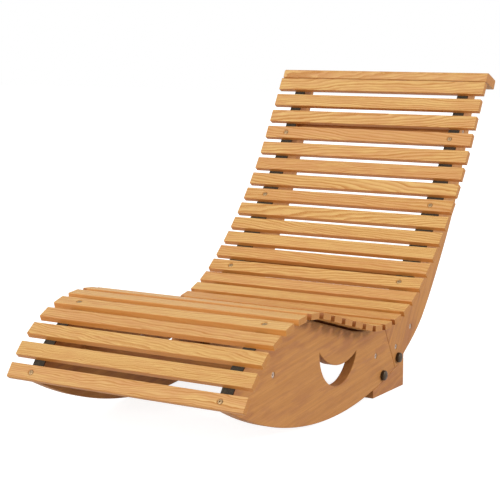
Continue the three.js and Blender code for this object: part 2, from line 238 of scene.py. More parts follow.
def buildGrowthRings():
    group, given, out = newGroup("growthRings", [
        ("Place", "Vector", None), ("Seed", "Float", 0.0), ("RingWidth", "Float", 0.0042),
        ("PithDepth", "Float", 0.07), ("PithSpread", "Float", 0.05), ("Lean", "Float", 0.03),
        ("Wander", "Float", 0.012), ("Flame", "Float", 0.003),
    ], [("LateWood", "Float"), ("Tone", "Float"), ("Blotch", "Float")])
    s = given.outputs
    first = splitVector(group, whiteNoise(group, s["Seed"])["Color"])
    secondSeed = plus(group, s["Seed"], ringLook["secondDraw"])
    second = splitVector(group, whiteNoise(group, secondSeed)["Color"])
    field = shiftedField(group, s["Place"], s["Seed"], **ringLook["field"])
    x, y, z = splitVector(group, s["Place"])
    wave = splitVector(group, stretchedNoise(group, field, **ringLook["wave"])["Color"])

    def centred(value):
        return minus(group, value, 0.5)

    def offAxis(flat, away, tilt, drift):
        leaning = times(group, x, times(group, centred(tilt), s["Lean"]))
        drifting = times(group, centred(drift), s["Wander"])
        return plus(group, plus(group, flat, away), plus(group, leaning, drifting))

    aside = centred(first[0])
    aside = plus(group, aside, times(group, mathNode(group, "SIGN", aside), ringLook["leastAside"]))
    acrossPith = offAxis(y, times(group, aside, s["PithSpread"]), first[2], wave[1])
    depth = times(group, plus(group, first[1], ringLook["leastDepth"]), s["PithDepth"])
    abovePith = offAxis(z, depth, second[0], wave[2])
    radius = vectorNode(group, "LENGTH", joinVector(group, 0.0, acrossPith, abovePith))
    ripple = stretchedNoise(group, field, **ringLook["ripple"])["Fac"]
    fray = stretchedNoise(group, field, **ringLook["fray"])["Fac"]
    radius = plus(group, radius, times(group, centred(ripple), s["Flame"]))
    radius = plus(group, radius, times(group, centred(fray), ringLook["frayWidth"]))
    widening = plus(group, ringLook["narrowest"], times(group, second[1], ringLook["widthSpan"]))
    rings = mathNode(group, "DIVIDE", radius, times(group, s["RingWidth"], widening))
    part = mathNode(group, "FRACT", rings)
    rise = remap(group, part, *ringLook["rise"])
    fall = remap(group, part, *ringLook["fall"])
    year = whiteNoise(group, plus(group, mathNode(group, "FLOOR", rings), s["Seed"]))["Value"]
    strength = plus(group, ringLook["faintest"], times(group, year, ringLook["yearSpan"]))
    link(group, times(group, times(group, rise, fall), strength), out.inputs["LateWood"])
    link(group, stretchedNoise(group, field, **ringLook["tone"])["Fac"], out.inputs["Tone"])
    link(group, stretchedNoise(group, field, **ringLook["blotch"])["Fac"], out.inputs["Blotch"])
    return group


# Fine fibres, short pore lines and broad bands along the grain

fibreLook = {
    "field": {"draw": 1.93, "reach": 17.0},
    "stretch": (0.02, 1.0, 1.0),
    "streaks": {"detail": 3.0, "roughness": 0.65},
    "streakRange": (0.3, 0.72),
    "poreFineness": 1.9,
    "pores": {"detail": 1.0, "roughness": 0.4},
    "poreRange": (0.62, 0.74),
    "bands": {"stretch": (2.2, 75.0, 75.0), "detail": 3.0, "roughness": 0.55},
    "bandRange": (0.32, 0.68),
}


def buildWoodFibres():
    group, given, out = newGroup("woodFibres", [
        ("Place", "Vector", None), ("Seed", "Float", 0.0), ("Fineness", "Float", 700.0),
    ], [("Streaks", "Float"), ("Pores", "Float"), ("Bands", "Float")])
    s = given.outputs
    field = shiftedField(group, s["Place"], s["Seed"], **fibreLook["field"])
    thin = vectorNode(group, "MULTIPLY", field, fibreLook["stretch"])
    streaks = noise(group, thin, s["Fineness"], **fibreLook["streaks"])["Fac"]
    poreScale = times(group, s["Fineness"], fibreLook["poreFineness"])
    pores = noise(group, thin, poreScale, **fibreLook["pores"])["Fac"]
    bands = stretchedNoise(group, field, **fibreLook["bands"])["Fac"]
    link(group, remap(group, streaks, *fibreLook["streakRange"]), out.inputs["Streaks"])
    link(group, remap(group, pores, *fibreLook["poreRange"]), out.inputs["Pores"])
    link(group, remap(group, bands, *fibreLook["bandRange"]), out.inputs["Bands"])
    return group


# Where an edge turns, broken up so that the wear isn't even

wearLook = {
    "samples": 6,
    "turn": (0.995, 0.8),
    "patch": {"detail": 3.0, "roughness": 0.6},
    "patchRange": (0.3, 0.7, 0.35, 1.0),
}


def buildEdgeWear():
    group, given, out = newGroup("edgeWear", [
        ("Place", "Vector", None), ("Radius", "Float", 0.0025), ("Breakup", "Float", 60.0),
    ], [("Edge", "Float")])
    s = given.outputs
    bevel = group.nodes.new("ShaderNodeBevel")
    bevel.samples = wearLook["samples"]
    link(group, s["Radius"], bevel.inputs["Radius"])
    normal = group.nodes.new("ShaderNodeNewGeometry").outputs["Normal"]
    same = vectorNode(group, "DOT_PRODUCT", bevel.outputs[0], normal)
    turn = remap(group, same, *wearLook["turn"])
    patch = noise(group, s["Place"], s["Breakup"], **wearLook["patch"])["Fac"]
    patch = remap(group, patch, *wearLook["patchRange"])
    link(group, times(group, turn, patch), out.inputs["Edge"])
    return group


# How squarely a surface faces along an axis: a board's cut ends or its sawn sides
def buildBoardFacing():
    group, given, out = newGroup("boardFacing", [("Axis", "Vector", None)], [("Facing", "Float")])
    facing = group.nodes.new("ShaderNodeNewGeometry").outputs["True Normal"]
    along = vectorNode(group, "DOT_PRODUCT", facing, given.outputs["Axis"])
    along = mathNode(group, "ABSOLUTE", along)
    barely, squarely = 0.55, 0.95
    link(group, remap(group, along, barely, squarely), out.inputs["Facing"])
    return group


# Woven webbing: warp ends along the strap, weft picks across it, each over and under the other

weaveLook = {
    "endLift": 0.45,
    "endRise": 0.55,
    "pickRise": 0.8,
    "gapRange": (0.45, 0.1),
}


def buildWebbingWeave():
    group, given, out = newGroup("webbingWeave", [
        ("Across", "Float", 0.0), ("Along", "Float", 0.0),
        ("EndPitch", "Float", 0.0015), ("PickPitch", "Float", 0.0013),
    ], [("Height", "Float"), ("Gap", "Float"), ("Yarn", "Float")])
    s = given.outputs
    ends = mathNode(group, "DIVIDE", s["Across"], s["EndPitch"])
    picks = mathNode(group, "DIVIDE", s["Along"], s["PickPitch"])

    def bulge(count):
        return mathNode(group, "SINE", times(group, mathNode(group, "FRACT", count), math.pi))

    endBulge, pickBulge = bulge(ends), bulge(picks)
    endNumber = mathNode(group, "FLOOR", ends)
    crossing = plus(group, endNumber, mathNode(group, "FLOOR", picks))
    over = mathNode(group, "ABSOLUTE", mathNode(group, "MODULO", crossing, 2.0))
    under = minus(group, 1.0, over)
    endRise = times(group, times(group, pickBulge, over), weaveLook["endRise"])
    endHeight = times(group, endBulge, plus(group, weaveLook["endLift"], endRise))
    pickRise = times(group, times(group, endBulge, under), weaveLook["pickRise"])
    height = mathNode(group, "MAXIMUM", endHeight, times(group, pickBulge, pickRise))
    link(group, height, out.inputs["Height"])
    # Painted shade: the low hollows between the threads are marked for a darker colour
    link(group, remap(group, height, *weaveLook["gapRange"]), out.inputs["Gap"])
    link(group, whiteNoise(group, endNumber)["Value"], out.inputs["Yarn"])
    return group


growthRings = buildGrowthRings()
woodFibres = buildWoodFibres()
edgeWear = buildEdgeWear()
boardFacing = buildBoardFacing()
webbingWeave = buildWebbingWeave()
print("node groups built")


# Material helpers

def newMaterial(name):
    material = bpy.data.materials.new(name)
    material.use_nodes = True
    tree = material.node_tree
    return material, tree, tree.nodes["Principled BSDF"]


def objectSpace(tree):
    return tree.nodes.new("ShaderNodeTexCoord").outputs["Object"]


def attributeOf(tree, name):
    node = tree.nodes.new("ShaderNodeAttribute")
    node.attribute_name = name
    return node.outputs


def bump(tree, shader, height, distance, strength=1.0):
    node = tree.nodes.new("ShaderNodeBump")
    node.inputs["Strength"].default_value = strength
    node.inputs["Distance"].default_value = distance
    link(tree, height, node.inputs["Height"])
    link(tree, node.outputs[0], shader.inputs["Normal"])


# Wood: honey-coloured slats and tan side boards

woodLook = {
    "tonePatch": (0.35, 0.7, -0.25, 0.40),
    "blotchPatch": (0.35, 0.65, -0.34, 0.40),
    "poreShare": 0.22,
    "endShare": 0.8,
    "wearShare": 0.35,
    "streakPolish": 0.6,
    "ringPolish": 0.4,
    "ringHeight": 0.6,
    "streakHeight": 0.3,
    "poreDepth": 0.5,
    "relief": 0.00018,
    "reliefStrength": 0.7,
}
slatFinish = {
    "earlyWood": (0.790, 0.508, 0.174, 1),
    "pinkWood": (0.695, 0.368, 0.136, 1),
    "lateWood": (0.480, 0.180, 0.020, 1),
    "endWood": (0.47, 0.160, 0.008, 1),
    "sideWood": (0.63, 0.240, 0.040, 1),
    "wornEdge": (0.78, 0.47, 0.16, 1),
    "soakedWood": (0.33, 0.088, 0.006, 1),
    "soakedFrom": (0.286, 0.292),
    "rings": {
        "RingWidth": 0.0046, "PithDepth": 0.060, "PithSpread": 0.11, "Lean": 0.13, "Wander": 0.026,
    },
    "flame": 0.0085,
    "fineness": 560.0,
    "ringShare": 1.0,
    "fibreShare": 0.26,
    "bandShare": 0.22,
    "patchShare": 1.0,
    "lotShare": 0.75,
    "sideShare": 0.75,
    "roughness": (0.44, 0.60),
    "specular": 0.5,
}
boardFinish = {
    "earlyWood": (0.640, 0.294, 0.082, 1),
    "pinkWood": (0.490, 0.204, 0.074, 1),
    "lateWood": (0.35, 0.122, 0.030, 1),
    "endWood": (0.42, 0.170, 0.040, 1),
    "sideWood": (0.50, 0.200, 0.048, 1),
    "wornEdge": (0.66, 0.34, 0.12, 1),
    "rings": {
        "RingWidth": 0.0110, "PithDepth": 0.12, "PithSpread": 0.20, "Lean": 0.05, "Wander": 0.030,
    },
    "flame": 0.004,
    "fineness": 420.0,
    "ringShare": 0.20,
    "fibreShare": 0.18,
    "bandShare": 0.30,
    "patchShare": 1.5,
    "lotShare": 0.35,
    "sideShare": 0.4,
    "roughness": (0.50, 0.66),
    "specular": 0.3,
}


# How far into the pink wood each spot is: by the board's own lot and by patches within it
def pinkness(tree, finish, rings):
    tone = remap(tree, rings["Tone"], *woodLook["tonePatch"])
    blotch = remap(tree, rings["Blotch"], *woodLook["blotchPatch"])
    patches = times(tree, plus(tree, tone, blotch), finish["patchShare"])
    lot = times(tree, attributeOf(tree, "pieceTone")["Fac"], finish["lotShare"])
    return plus(tree, lot, patches, clamp=True)


# Painted shade: the sides darkened over the last few millimetres towards the slat ends, for the
# shade in the gaps between the slat ends
def endShadeShare(tree, finish, place, sides):
    fromMiddle = mathNode(tree, "ABSOLUTE", splitVector(tree, place)[0])
    soaked = times(tree, sides, remap(tree, fromMiddle, *finish["soakedFrom"]))
    return times(tree, soaked, attributeOf(tree, "pieceSoak")["Fac"])


def woodMaterial(name, finish):
    material, tree, shader = newMaterial(name)
    seed = attributeOf(tree, "pieceSeed")["Fac"]
    place = attributeOf(tree, "grainPlace")["Vector"]
    waves = times(tree, attributeOf(tree, "pieceWave")["Fac"], finish["flame"])
    rings = placeGroup(tree, growthRings, Place=place, Seed=seed, Flame=waves, **finish["rings"])
    fibres = placeGroup(tree, woodFibres, Place=place, Seed=seed, Fineness=finish["fineness"])
    edge = placeGroup(tree, edgeWear, Place=place)["Edge"]
    ends, sides = (
        placeGroup(tree, boardFacing, Axis=attributeOf(tree, axis)["Vector"])["Facing"]
        for axis in ("grainAxis", "grainAcross")
    )
    bands = times(tree, fibres["Bands"], finish["bandShare"])
    streaks = times(tree, minus(tree, 1.0, fibres["Streaks"]), finish["fibreShare"])
    layers = [
        (times(tree, rings["LateWood"], finish["ringShare"]), "lateWood"),
        (plus(tree, bands, streaks), "lateWood"),
        (times(tree, fibres["Pores"], woodLook["poreShare"]), "lateWood"),
        # Painted shade: the narrow sides get a darker, redder colour for the shade that falls on
        # them
        (times(tree, sides, finish["sideShare"]), "sideWood"),
    ]
    # Painted shade in the gaps between the slat ends
    if "soakedFrom" in finish:
        layers.append((endShadeShare(tree, finish, place, sides), "soakedWood"))
    layers.append((times(tree, ends, woodLook["endShare"]), "endWood"))
    layers.append((times(tree, edge, woodLook["wearShare"]), "wornEdge"))
    base = mixColor(tree, pinkness(tree, finish, rings), finish["earlyWood"], finish["pinkWood"])
    for share, wood in layers:
        base = mixColor(tree, share, base, finish[wood])
    link(tree, base, shader.inputs["Base Color"])
    polish = plus(
        tree, times(tree, fibres["Streaks"], woodLook["streakPolish"]),
        times(tree, rings["LateWood"], woodLook["ringPolish"]))
    low, high = finish["roughness"]
    link(tree, remap(tree, polish, 0.0, 1.0, high, low, smooth=False), shader.inputs["Roughness"])
    shader.inputs["Specular IOR Level"].default_value = finish["specular"]
    relief = plus(
        tree, times(tree, rings["LateWood"], woodLook["ringHeight"]),
        times(tree, fibres["Streaks"], woodLook["streakHeight"]))
    relief = minus(tree, relief, times(tree, fibres["Pores"], woodLook["poreDepth"]))
    bump(tree, shader, relief, woodLook["relief"], woodLook["reliefStrength"])
    return material


# Webbing: nearly black, with its sides and underside painted a dark red-brown shade, for the deep
# shade under the slats

webbingFinish = {
    "yarn": (0.056, 0.048, 0.034, 1),
    "paleYarn": (0.100, 0.082, 0.056, 1),
    "gap": (0.012, 0.010, 0.008, 1),
    "selvedge": (0.075, 0.017, 0.003, 1),
    "selvedgeShare": 0.92,
    "yarnShare": 0.5,
    "dust": {"scale": 90.0, "detail": 4.0, "roughness": 0.6},
    "dustRange": (0.4, 0.7, 0.0, 0.6),
    "underside": (-0.2, -0.6),
    "roughness": (0.95, 0.72),
    "sheen": 0.06,
    "specular": 0.18,
    "relief": 0.00035,
}


def webbingMaterial():
    finish = webbingFinish
    material, tree, shader = newMaterial("blackWebbing")
    uv = tree.nodes.new("ShaderNodeUVMap")
    uv.uv_map = "threads"
    across, along, _ = splitVector(tree, uv.outputs[0])
    weave = placeGroup(tree, webbingWeave, Across=across, Along=along)
    dust = noise(tree, objectSpace(tree), **finish["dust"])["Fac"]
    dust = remap(tree, dust, *finish["dustRange"])
    shade = plus(tree, times(tree, weave["Yarn"], finish["yarnShare"]), dust, clamp=True)
    base = mixColor(tree, shade, finish["yarn"], finish["paleYarn"])
    # Painted shade in the hollows between the threads
    base = mixColor(tree, weave["Gap"], base, finish["gap"])
    # Painted shade: faces turned down or across the seat take the dark red-brown colour and lose
    # their sheen and gloss
    normal = tree.nodes.new("ShaderNodeNewGeometry").outputs["Normal"]
    underside = remap(tree, splitVector(tree, normal)[2], *finish["underside"])
    edge = placeGroup(tree, boardFacing, Axis=acrossSeat)["Facing"]
    shadedBorder = mathNode(tree, "MAXIMUM", edge, underside)
    base = mixColor(tree, times(tree, shadedBorder, finish["selvedgeShare"]), base, finish["selvedge"])
    link(tree, base, shader.inputs["Base Color"])
    polish = remap(tree, weave["Height"], 0.0, 1.0, *finish["roughness"])
    link(tree, polish, shader.inputs["Roughness"])
    woven = minus(tree, 1.0, shadedBorder)
    link(tree, times(tree, woven, finish["sheen"]), shader.inputs["Sheen Weight"])
    link(tree, times(tree, woven, finish["specular"]), shader.inputs["Specular IOR Level"])
    bump(tree, shader, weave["Height"], finish["relief"])
    return material


# Bare steel of the bolts and screws

steelLook = {
    "latheAlong": 900.0,
    "latheAcross": 2600.0,
    "latheShare": 0.5,
    "stain": {"scale": 420.0, "detail": 4.0, "roughness": 0.62},
    "stainRange": (0.38, 0.68),
    "stainShare": 0.7,
    "wear": {"Radius": 0.0006, "Breakup": 900.0},
    "wearShare": 0.5,
    "polishRange": (0.3, 0.7),
    "relief": 0.00004,
    "reliefStrength": 0.5,
}
steelFinish = {
    "boltSteel": {
        "bright": (0.52, 0.41, 0.33, 1), "dull": (0.37, 0.28, 0.22, 1), "roughness": (0.44, 0.64),
    },
    "screwSteel": {
        "bright": (0.47, 0.32, 0.17, 1), "dull": (0.25, 0.16, 0.08, 1), "roughness": (0.48, 0.68),
    },
}


def steelMaterial(name):
    finish = steelFinish[name]
    material, tree, shader = newMaterial(name)
    place = objectSpace(tree)
    x, y, z = splitVector(tree, place)
    turned = vectorNode(tree, "LENGTH", joinVector(tree, 0.0, y, z))
    marks = joinVector(
        tree, times(tree, x, steelLook["latheAlong"]),
        times(tree, turned, steelLook["latheAcross"]), 0.0)
    lathe = noise(tree, marks)["Fac"]
    stain = noise(tree, place, **steelLook["stain"])["Fac"]
    edge = placeGroup(tree, edgeWear, Place=place, **steelLook["wear"])["Edge"]
    tarnish = times(tree, remap(tree, stain, *steelLook["stainRange"]), steelLook["stainShare"])
    base = mixColor(tree, tarnish, finish["bright"], finish["dull"])
    base = mixColor(tree, times(tree, edge, steelLook["wearShare"]), base, finish["bright"])
    link(tree, base, shader.inputs["Base Color"])
    shader.inputs["Metallic"].default_value = 1.0
    polish = plus(
        tree, times(tree, lathe, steelLook["latheShare"]),
        times(tree, stain, 1.0 - steelLook["latheShare"]))
    polish = remap(tree, polish, *steelLook["polishRange"], *finish["roughness"])
    link(tree, polish, shader.inputs["Roughness"])
    bump(tree, shader, lathe, steelLook["relief"], steelLook["reliefStrength"])
    return material


# Black plastic of the domed caps

capFinish = {
    "dark": (0.026, 0.014, 0.006, 1),
    "scuffed": (0.062, 0.040, 0.024, 1),
    "shine": (1.0, 0.74, 0.48, 1),
    "mottleScale": 2600.0,
    "scuff": {"scale": 260.0, "detail": 4.0, "roughness": 0.65},
    "scuffRange": (0.52, 0.75, 0.0, 0.4),
    "wear": {"Radius": 0.0008, "Breakup": 500.0},
    "wearShare": 0.5,
    "polishRange": (0.35, 0.7),
    "roughness": (0.36, 0.54),
    "relief": 0.00003,
    "reliefStrength": 0.4,
}


def capMaterial():
    finish = capFinish
    material, tree, shader = newMaterial("blackCapPlastic")
    place = objectSpace(tree)
    mottle = noise(tree, place, finish["mottleScale"])["Fac"]
    scuff = noise(tree, place, **finish["scuff"])["Fac"]
    edge = placeGroup(tree, edgeWear, Place=place, **finish["wear"])["Edge"]
    scuffs = remap(tree, scuff, *finish["scuffRange"])
    marks = plus(tree, scuffs, times(tree, edge, finish["wearShare"]), clamp=True)
    base = mixColor(tree, marks, finish["dark"], finish["scuffed"])
    link(tree, base, shader.inputs["Base Color"])
    shader.inputs["Specular Tint"].default_value = finish["shine"]
    polish = remap(tree, scuff, *finish["polishRange"], *finish["roughness"])
    link(tree, polish, shader.inputs["Roughness"])
    bump(tree, shader, mottle, finish["relief"], finish["reliefStrength"])
    return material


slatWood = woodMaterial("honeySlatWood", slatFinish)
boardWood = woodMaterial("tanBoardWood", boardFinish)
webbing = webbingMaterial()
boltSteel = steelMaterial("boltSteel")
screwSteel = steelMaterial("screwSteel")
capPlastic = capMaterial()
print("materials built")


# Piece and mesh helpers

def finishPiece(name, mesh, material, nodes, place=None):
    for polygon in mesh.polygons:
        polygon.use_smooth = True
    mesh.materials.clear()
    mesh.materials.append(material)
    piece = addObject(name, mesh, place)
    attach(piece, "root")
    if nodes:
        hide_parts(*nodes)
    return piece


# What a wooden piece's material reads: where each point lies in the piece, how the grain runs
# and lies across there, and the piece's own number, tone, waviness and painted shade at its ends
def layGrain(piece, grain, seed, tone, sawnSides=1.0, wave=1.0, endShade=0.0):
    mesh = piece.data
    back = grain.inverted()
    axis = grain.col[0].to_3d()
    # The across axis marks the sides that get painted shade in the material
    across = grain.col[1].to_3d() * sawnSides
    count = len(mesh.vertices)
    vectors = {
        "grainPlace": [c for vertex in mesh.vertices for c in back @ vertex.co],
        "grainAxis": list(axis) * count,
        "grainAcross": list(across) * count,
    }
    numbers = {"pieceTone": tone, "pieceSeed": seed, "pieceWave": wave, "pieceSoak": endShade}
    for label, values in vectors.items():
        mesh.attributes.new(label, "FLOAT_VECTOR", "POINT").data.foreach_set("vector", values)
    for label, value in numbers.items():
        mesh.attributes.new(label, "FLOAT", "POINT").data.foreach_set("value", [value] * count)


def weighNormals(piece):
    modifier = piece.modifiers.new("evenNormals", "WEIGHTED_NORMAL")
    modifier.mode = "FACE_AREA"
    modifier.weight = 50


def storeMesh(mesh, name):
    data = bpy.data.meshes.new(name)
    mesh.to_mesh(data)
    mesh.free()
    return data


def skinLoops(mesh, loops):
    count = len(loops[0])
    for before, after in zip(loops, loops[1:]):
        for i in range(count):
            j = (i + 1) % count
            mesh.faces.new((before[i], before[j], after[j], after[i]))


def foldDegrees(edge):
    return math.degrees(edge.calc_face_angle()) if len(edge.link_faces) == 2 else 0.0


def creaseEdges(mesh, degrees):
    for edge in mesh.edges:
        if foldDegrees(edge) > degrees:
            edge.smooth = False


# Angles of a quarter turn, both ends included
def quarterTurn(start, points):
    return [math.radians(start + 90 * step / (points - 1)) for step in range(points)]


# Bars: the slats, the cap rail and the cross rails

barShape = {
    "cornerPoints": 5,
    "endPoints": 4,
    "leastRounding": 0.2 * mm,
    "endTilt": 0.01,
    "levelSlack": 1e-6,
}


# A bar's own frame, read from its solid: X along it, Y across its width, Z out of its upper face
def barFrame(node):
    solid = frame["nodes"][node].data
    points = [vertex.co for vertex in solid.vertices]
    lengthwise = [face for face in solid.polygons if abs(face.normal.x) < barShape["endTilt"]]
    broad = max(lengthwise, key=lambda face: face.area)
    normal = Vector((0, broad.normal.y, broad.normal.z)).normalized()
    if normal.z < -barShape["levelSlack"]:
        normal = -normal
    axes = (acrossSeat, normal.cross(acrossSeat), normal)
    spans = [[p.dot(axis) for p in points] for axis in axes]
    middle = sum((axis * (min(span) + max(span)) / 2 for axis, span in zip(axes, spans)), Vector())
    matrix = Matrix(axes).transposed().to_4x4()
    matrix.translation = middle
    return matrix, [max(span) - min(span) for span in spans]


# Rounded bar about its own middle; roundings go front top, back top, back bottom, front bottom
def barMesh(name, size, roundings, endRounding):
    length, width, thickness = size
    corners = [
        (-width / 2, thickness / 2, roundings[0], 90),
        (-width / 2, -thickness / 2, roundings[3], 180),
        (width / 2, -thickness / 2, roundings[2], 270),
        (width / 2, thickness / 2, roundings[1], 0),
    ]

    def section(inset):
        points = []
        for cornerY, cornerZ, radius, start in corners:
            centreY = cornerY - math.copysign(radius, cornerY)
            centreZ = cornerZ - math.copysign(radius, cornerZ)
            left = max(radius - inset, barShape["leastRounding"])
            for angle in quarterTurn(start, barShape["cornerPoints"]):
                points.append((centreY + left * math.cos(angle), centreZ + left * math.sin(angle)))
        return points

    rings = [
        (-length / 2 + endRounding * (1 - math.cos(angle)), endRounding * (1 - math.sin(angle)))
        for angle in quarterTurn(0, barShape["endPoints"])
    ]
    rings += [(-x, inset) for x, inset in reversed(rings)]
    mesh = bmesh.new()
    loops = [[mesh.verts.new((x, y, z)) for y, z in section(inset)] for x, inset in rings]
    skinLoops(mesh, loops)
    mesh.faces.new(list(reversed(loops[0])))
    mesh.faces.new(loops[-1])
    bmesh.ops.recalc_face_normals(mesh, faces=mesh.faces[:])
    return storeMesh(mesh, name)


def barPiece(node, suffix, roundings, endRounding, material):
    place, size = barFrame(node)
    mesh = barMesh(node + suffix, size, roundings, endRounding)
    mesh.transform(place)
    return finishPiece(node + suffix, mesh, material, [node]), place, size


# Turned body: rings of (distance along X, radius, shape), shape round, hex, nut or cross

turnedShape = {"segments": 48, "creaseDegrees": 38, "leastSine": 0.05}


def reachAt(angle, radius, shape):
    if shape == "round":
        return radius
    if shape == "cross":
        reach, half = radius
        turn = (angle + math.pi / 4) % (math.pi / 2) - math.pi / 4
        lean = max(abs(math.sin(turn)), turnedShape["leastSine"])
        return min(reach / math.cos(turn), half / lean)
    toFlat = math.cos((angle + math.pi / 6) % (math.pi / 3) - math.pi / 6)
    return radius / toFlat if shape == "hex" else min(radius[0] / toFlat, radius[1])


def turnedMesh(name, rings, segments=turnedShape["segments"]):
    mesh = bmesh.new()
    loops = []
    for x, radius, shape in rings:
        loop = []
        for i in range(segments):
            angle = 2 * math.pi * i / segments
            r = reachAt(angle, radius, shape)
            loop.append(mesh.verts.new((x, r * math.cos(angle), r * math.sin(angle))))
        loops.append(loop)
    skinLoops(mesh, loops)
    mesh.faces.new(loops[0])
    mesh.faces.new(list(reversed(loops[-1])))
    bmesh.ops.recalc_face_normals(mesh, faces=mesh.faces[:])
    creaseEdges(mesh, turnedShape["creaseDegrees"])
    return storeMesh(mesh, name)


def subtract(piece, cutters):
    for cutter in cutters:
        modifier = piece.modifiers.new("pocket", "BOOLEAN")
        modifier.object = cutter
        modifier.operation = "DIFFERENCE"
        modifier.solver = "EXACT"
    bpy.context.view_layer.update()
    evaluated = piece.evaluated_get(bpy.context.evaluated_depsgraph_get())
    data = bpy.data.meshes.new_from_object(evaluated)
    piece.modifiers.clear()
    old = piece.data
    piece.data = data
    bpy.data.meshes.remove(old)
    for cutter in cutters:
        bpy.data.objects.remove(cutter)


# Slats

slats = {
    "rounding": 2 * mm,
    "footRounding": 3 * mm,
    "hiddenRounding": 0.4 * mm,
    "endRounding": 1 * mm,
    "screwed": ("seat_slat_01", "seat_slat_05", "back_slat_02", "back_slat_07", "back_slat_11"),
    "screwX": 240 * mm,
    "pocketRadius": 7.4 * mm,
    "pocketDepth": 3.4 * mm,
    "pocketAbove": 2 * mm,
    "pocketShares": (0.80, 1.18),
    "pocketSegments": 32,
    # How they differ: rosier ones, ends darkened with painted shade over the hips, waviest grain at
    # the foot
    "rosy": (
        "seat_slat_01", "seat_slat_04", "seat_slat_14", "seat_slat_15", "back_slat_01",
        "back_slat_03", "back_slat_07", "back_slat_09", "back_slat_11",
    ),
    "rosyTone": 0.85,
    "paleTone": 0.05,
    "toneSwing": 0.12,
    "toneStep": 2.3,
    "highTone": 0.35,
    "highFrom": 21,
    "highSpan": 3,
    # Strength of the painted shade at the ends of the slats over the hips, per slat
    "soaked": {
        "seat_slat_07": 0.80, "seat_slat_08": 0.82, "seat_slat_09": 0.84, "seat_slat_10": 0.86,
        "seat_slat_11": 0.86, "seat_slat_12": 0.86, "seat_slat_13": 0.96, "seat_slat_14": 0.98,
        "seat_slat_15": 1.0, "seat_slat_16": 0.5,
    },
    "calmWave": 0.75,
    "footWave": 1.0,
    "wavySlats": 5,
    "seedStep": 1.37,
    "seedFrom": 0.5,
}


def slatTone(number, node):
    tone = slats["rosyTone"] if node in slats["rosy"] else slats["paleTone"]
    tone += slats["toneSwing"] * math.sin(slats["toneStep"] * number)
    height = (number - slats["highFrom"]) / slats["highSpan"]
    return tone + slats["highTone"] * min(1.0, max(0.0, height))


# Where a screw sits on a slat's upper face, its head up
def screwSeat(place, size, side, below=0.0):
    at = Matrix.Translation((side * slats["screwX"], 0, size[2] / 2 - below))
    return place @ at @ Matrix.Rotation(-math.pi / 2, 4, "Y")


def pocketCutter(place, size, side):
    floorShare, topShare = slats["pocketShares"]
    rings = [
        (-slats["pocketDepth"], slats["pocketRadius"] * floorShare, "round"),
        (slats["pocketAbove"], slats["pocketRadius"] * topShare, "round"),
    ]
    mesh = turnedMesh("pocket", rings, slats["pocketSegments"])
    return addObject("pocket", mesh, screwSeat(place, size, side))


slatNodes = sorted(
    (name for name in frame["nodes"] if "_slat_" in name),
    key=lambda name: (name.startswith("back"), name),
)
slatFrames = []
for number, node in enumerate(slatNodes):
    front = slats["rounding"] if number else slats["footRounding"]
    hidden = slats["hiddenRounding"]
    roundings = [front, hidden, hidden, hidden if number else front]
    slat, place, size = barPiece(
        node, "_batten", roundings, slats["endRounding"], slatWood)
    slatFrames.append((node, place, size))
    if node in slats["screwed"]:
        subtract(slat, [pocketCutter(place, size, side) for side, _ in hands])
    seed = slats["seedStep"] * number + slats["seedFrom"]
    nearFoot = max(0.0, 1 - number / slats["wavySlats"])
    wave = slats["calmWave"] + slats["footWave"] * nearFoot
    # Strength of the painted shade at this slat's ends
    endShade = slats["soaked"].get(node, 0.0)
    layGrain(slat, place, seed, slatTone(number, node), wave=wave, endShade=endShade)
    weighNormals(slat)
print("slats:", len(slatFrames))


# Screws through the slats, each turned its own way

screws = {
    "radius": 5.8 * mm,
    "rise": 1.2 * mm,
    "sink": 0.8 * mm,
    "below": 1.5 * mm,
    "neckDepth": 2 * mm,
    "neckShare": 0.5,
    "rimShare": 0.92,
    "domeSteps": 6,
    "domeShare": 0.42,
    "crossReach": 2.6 * mm,
    "crossHalf": 0.6 * mm,
    "crossLip": 0.05 * mm,
    "crossDepth": 1.3 * mm,
    "crossTaper": (0.72, 0.6),
    "segments": 64,
    "turnBySide": 0.9,
    "turnByName": 0.37,
    "turnByPlace": 9,
}


def screwMesh():
    radius, rise, sink = screws["radius"], screws["rise"], screws["sink"]
    reach, half = screws["crossReach"], screws["crossHalf"]
    reachShare, halfShare = screws["crossTaper"]
    rings = [
        (-sink - screws["neckDepth"], radius * screws["neckShare"], "round"),
        (-sink, radius * screws["rimShare"], "round"),
        (0, radius, "round"),
    ]
    for step in range(1, screws["domeSteps"]):
        share = step / screws["domeSteps"]
        height = rise * (1 - (1 - share) ** 2)
        rings.append((height, radius * (1 - share * screws["domeShare"]), "round"))
    top = rings[-1][0]
    rings.append((top + screws["crossLip"], (reach, half), "cross"))
    rings.append((top - screws["crossDepth"], (reach * reachShare, half * halfShare), "cross"))
    return turnedMesh("screwHead", rings, screws["segments"])


def screwTurn(node, place, side):
    turn = screws["turnBySide"] * side + screws["turnByName"] * len(node)
    return Matrix.Rotation(turn + screws["turnByPlace"] * place.translation.y, 4, "X")


screwData = screwMesh()
for node, place, size in slatFrames:
    if node not in slats["screwed"]:
        continue
    for side, hand in hands:
        seat = screwSeat(place, size, side, screws["below"]) @ screwTurn(node, place, side)
        finishPiece(f"{node}_screw_{hand}", screwData, screwSteel, [], seat)
print("screws placed")


# Cap rail across the head end

capRail = {
    "noseRounding": 9 * mm,
    "rounding": 3.8 * mm,
    "endRounding": 1 * mm,
    "seed": 61.3,
    "tone": 0.55,
    "sawnSides": 0.0,
}
roundings = [capRail["noseRounding"]] + [capRail["rounding"]] * 3
board, place, _ = barPiece(
    "cap_rail", "_board", roundings, capRail["endRounding"], slatWood)
layGrain(board, place, capRail["seed"], capRail["tone"], capRail["sawnSides"])
weighNormals(board)
print("cap rail built")


# Cross rails

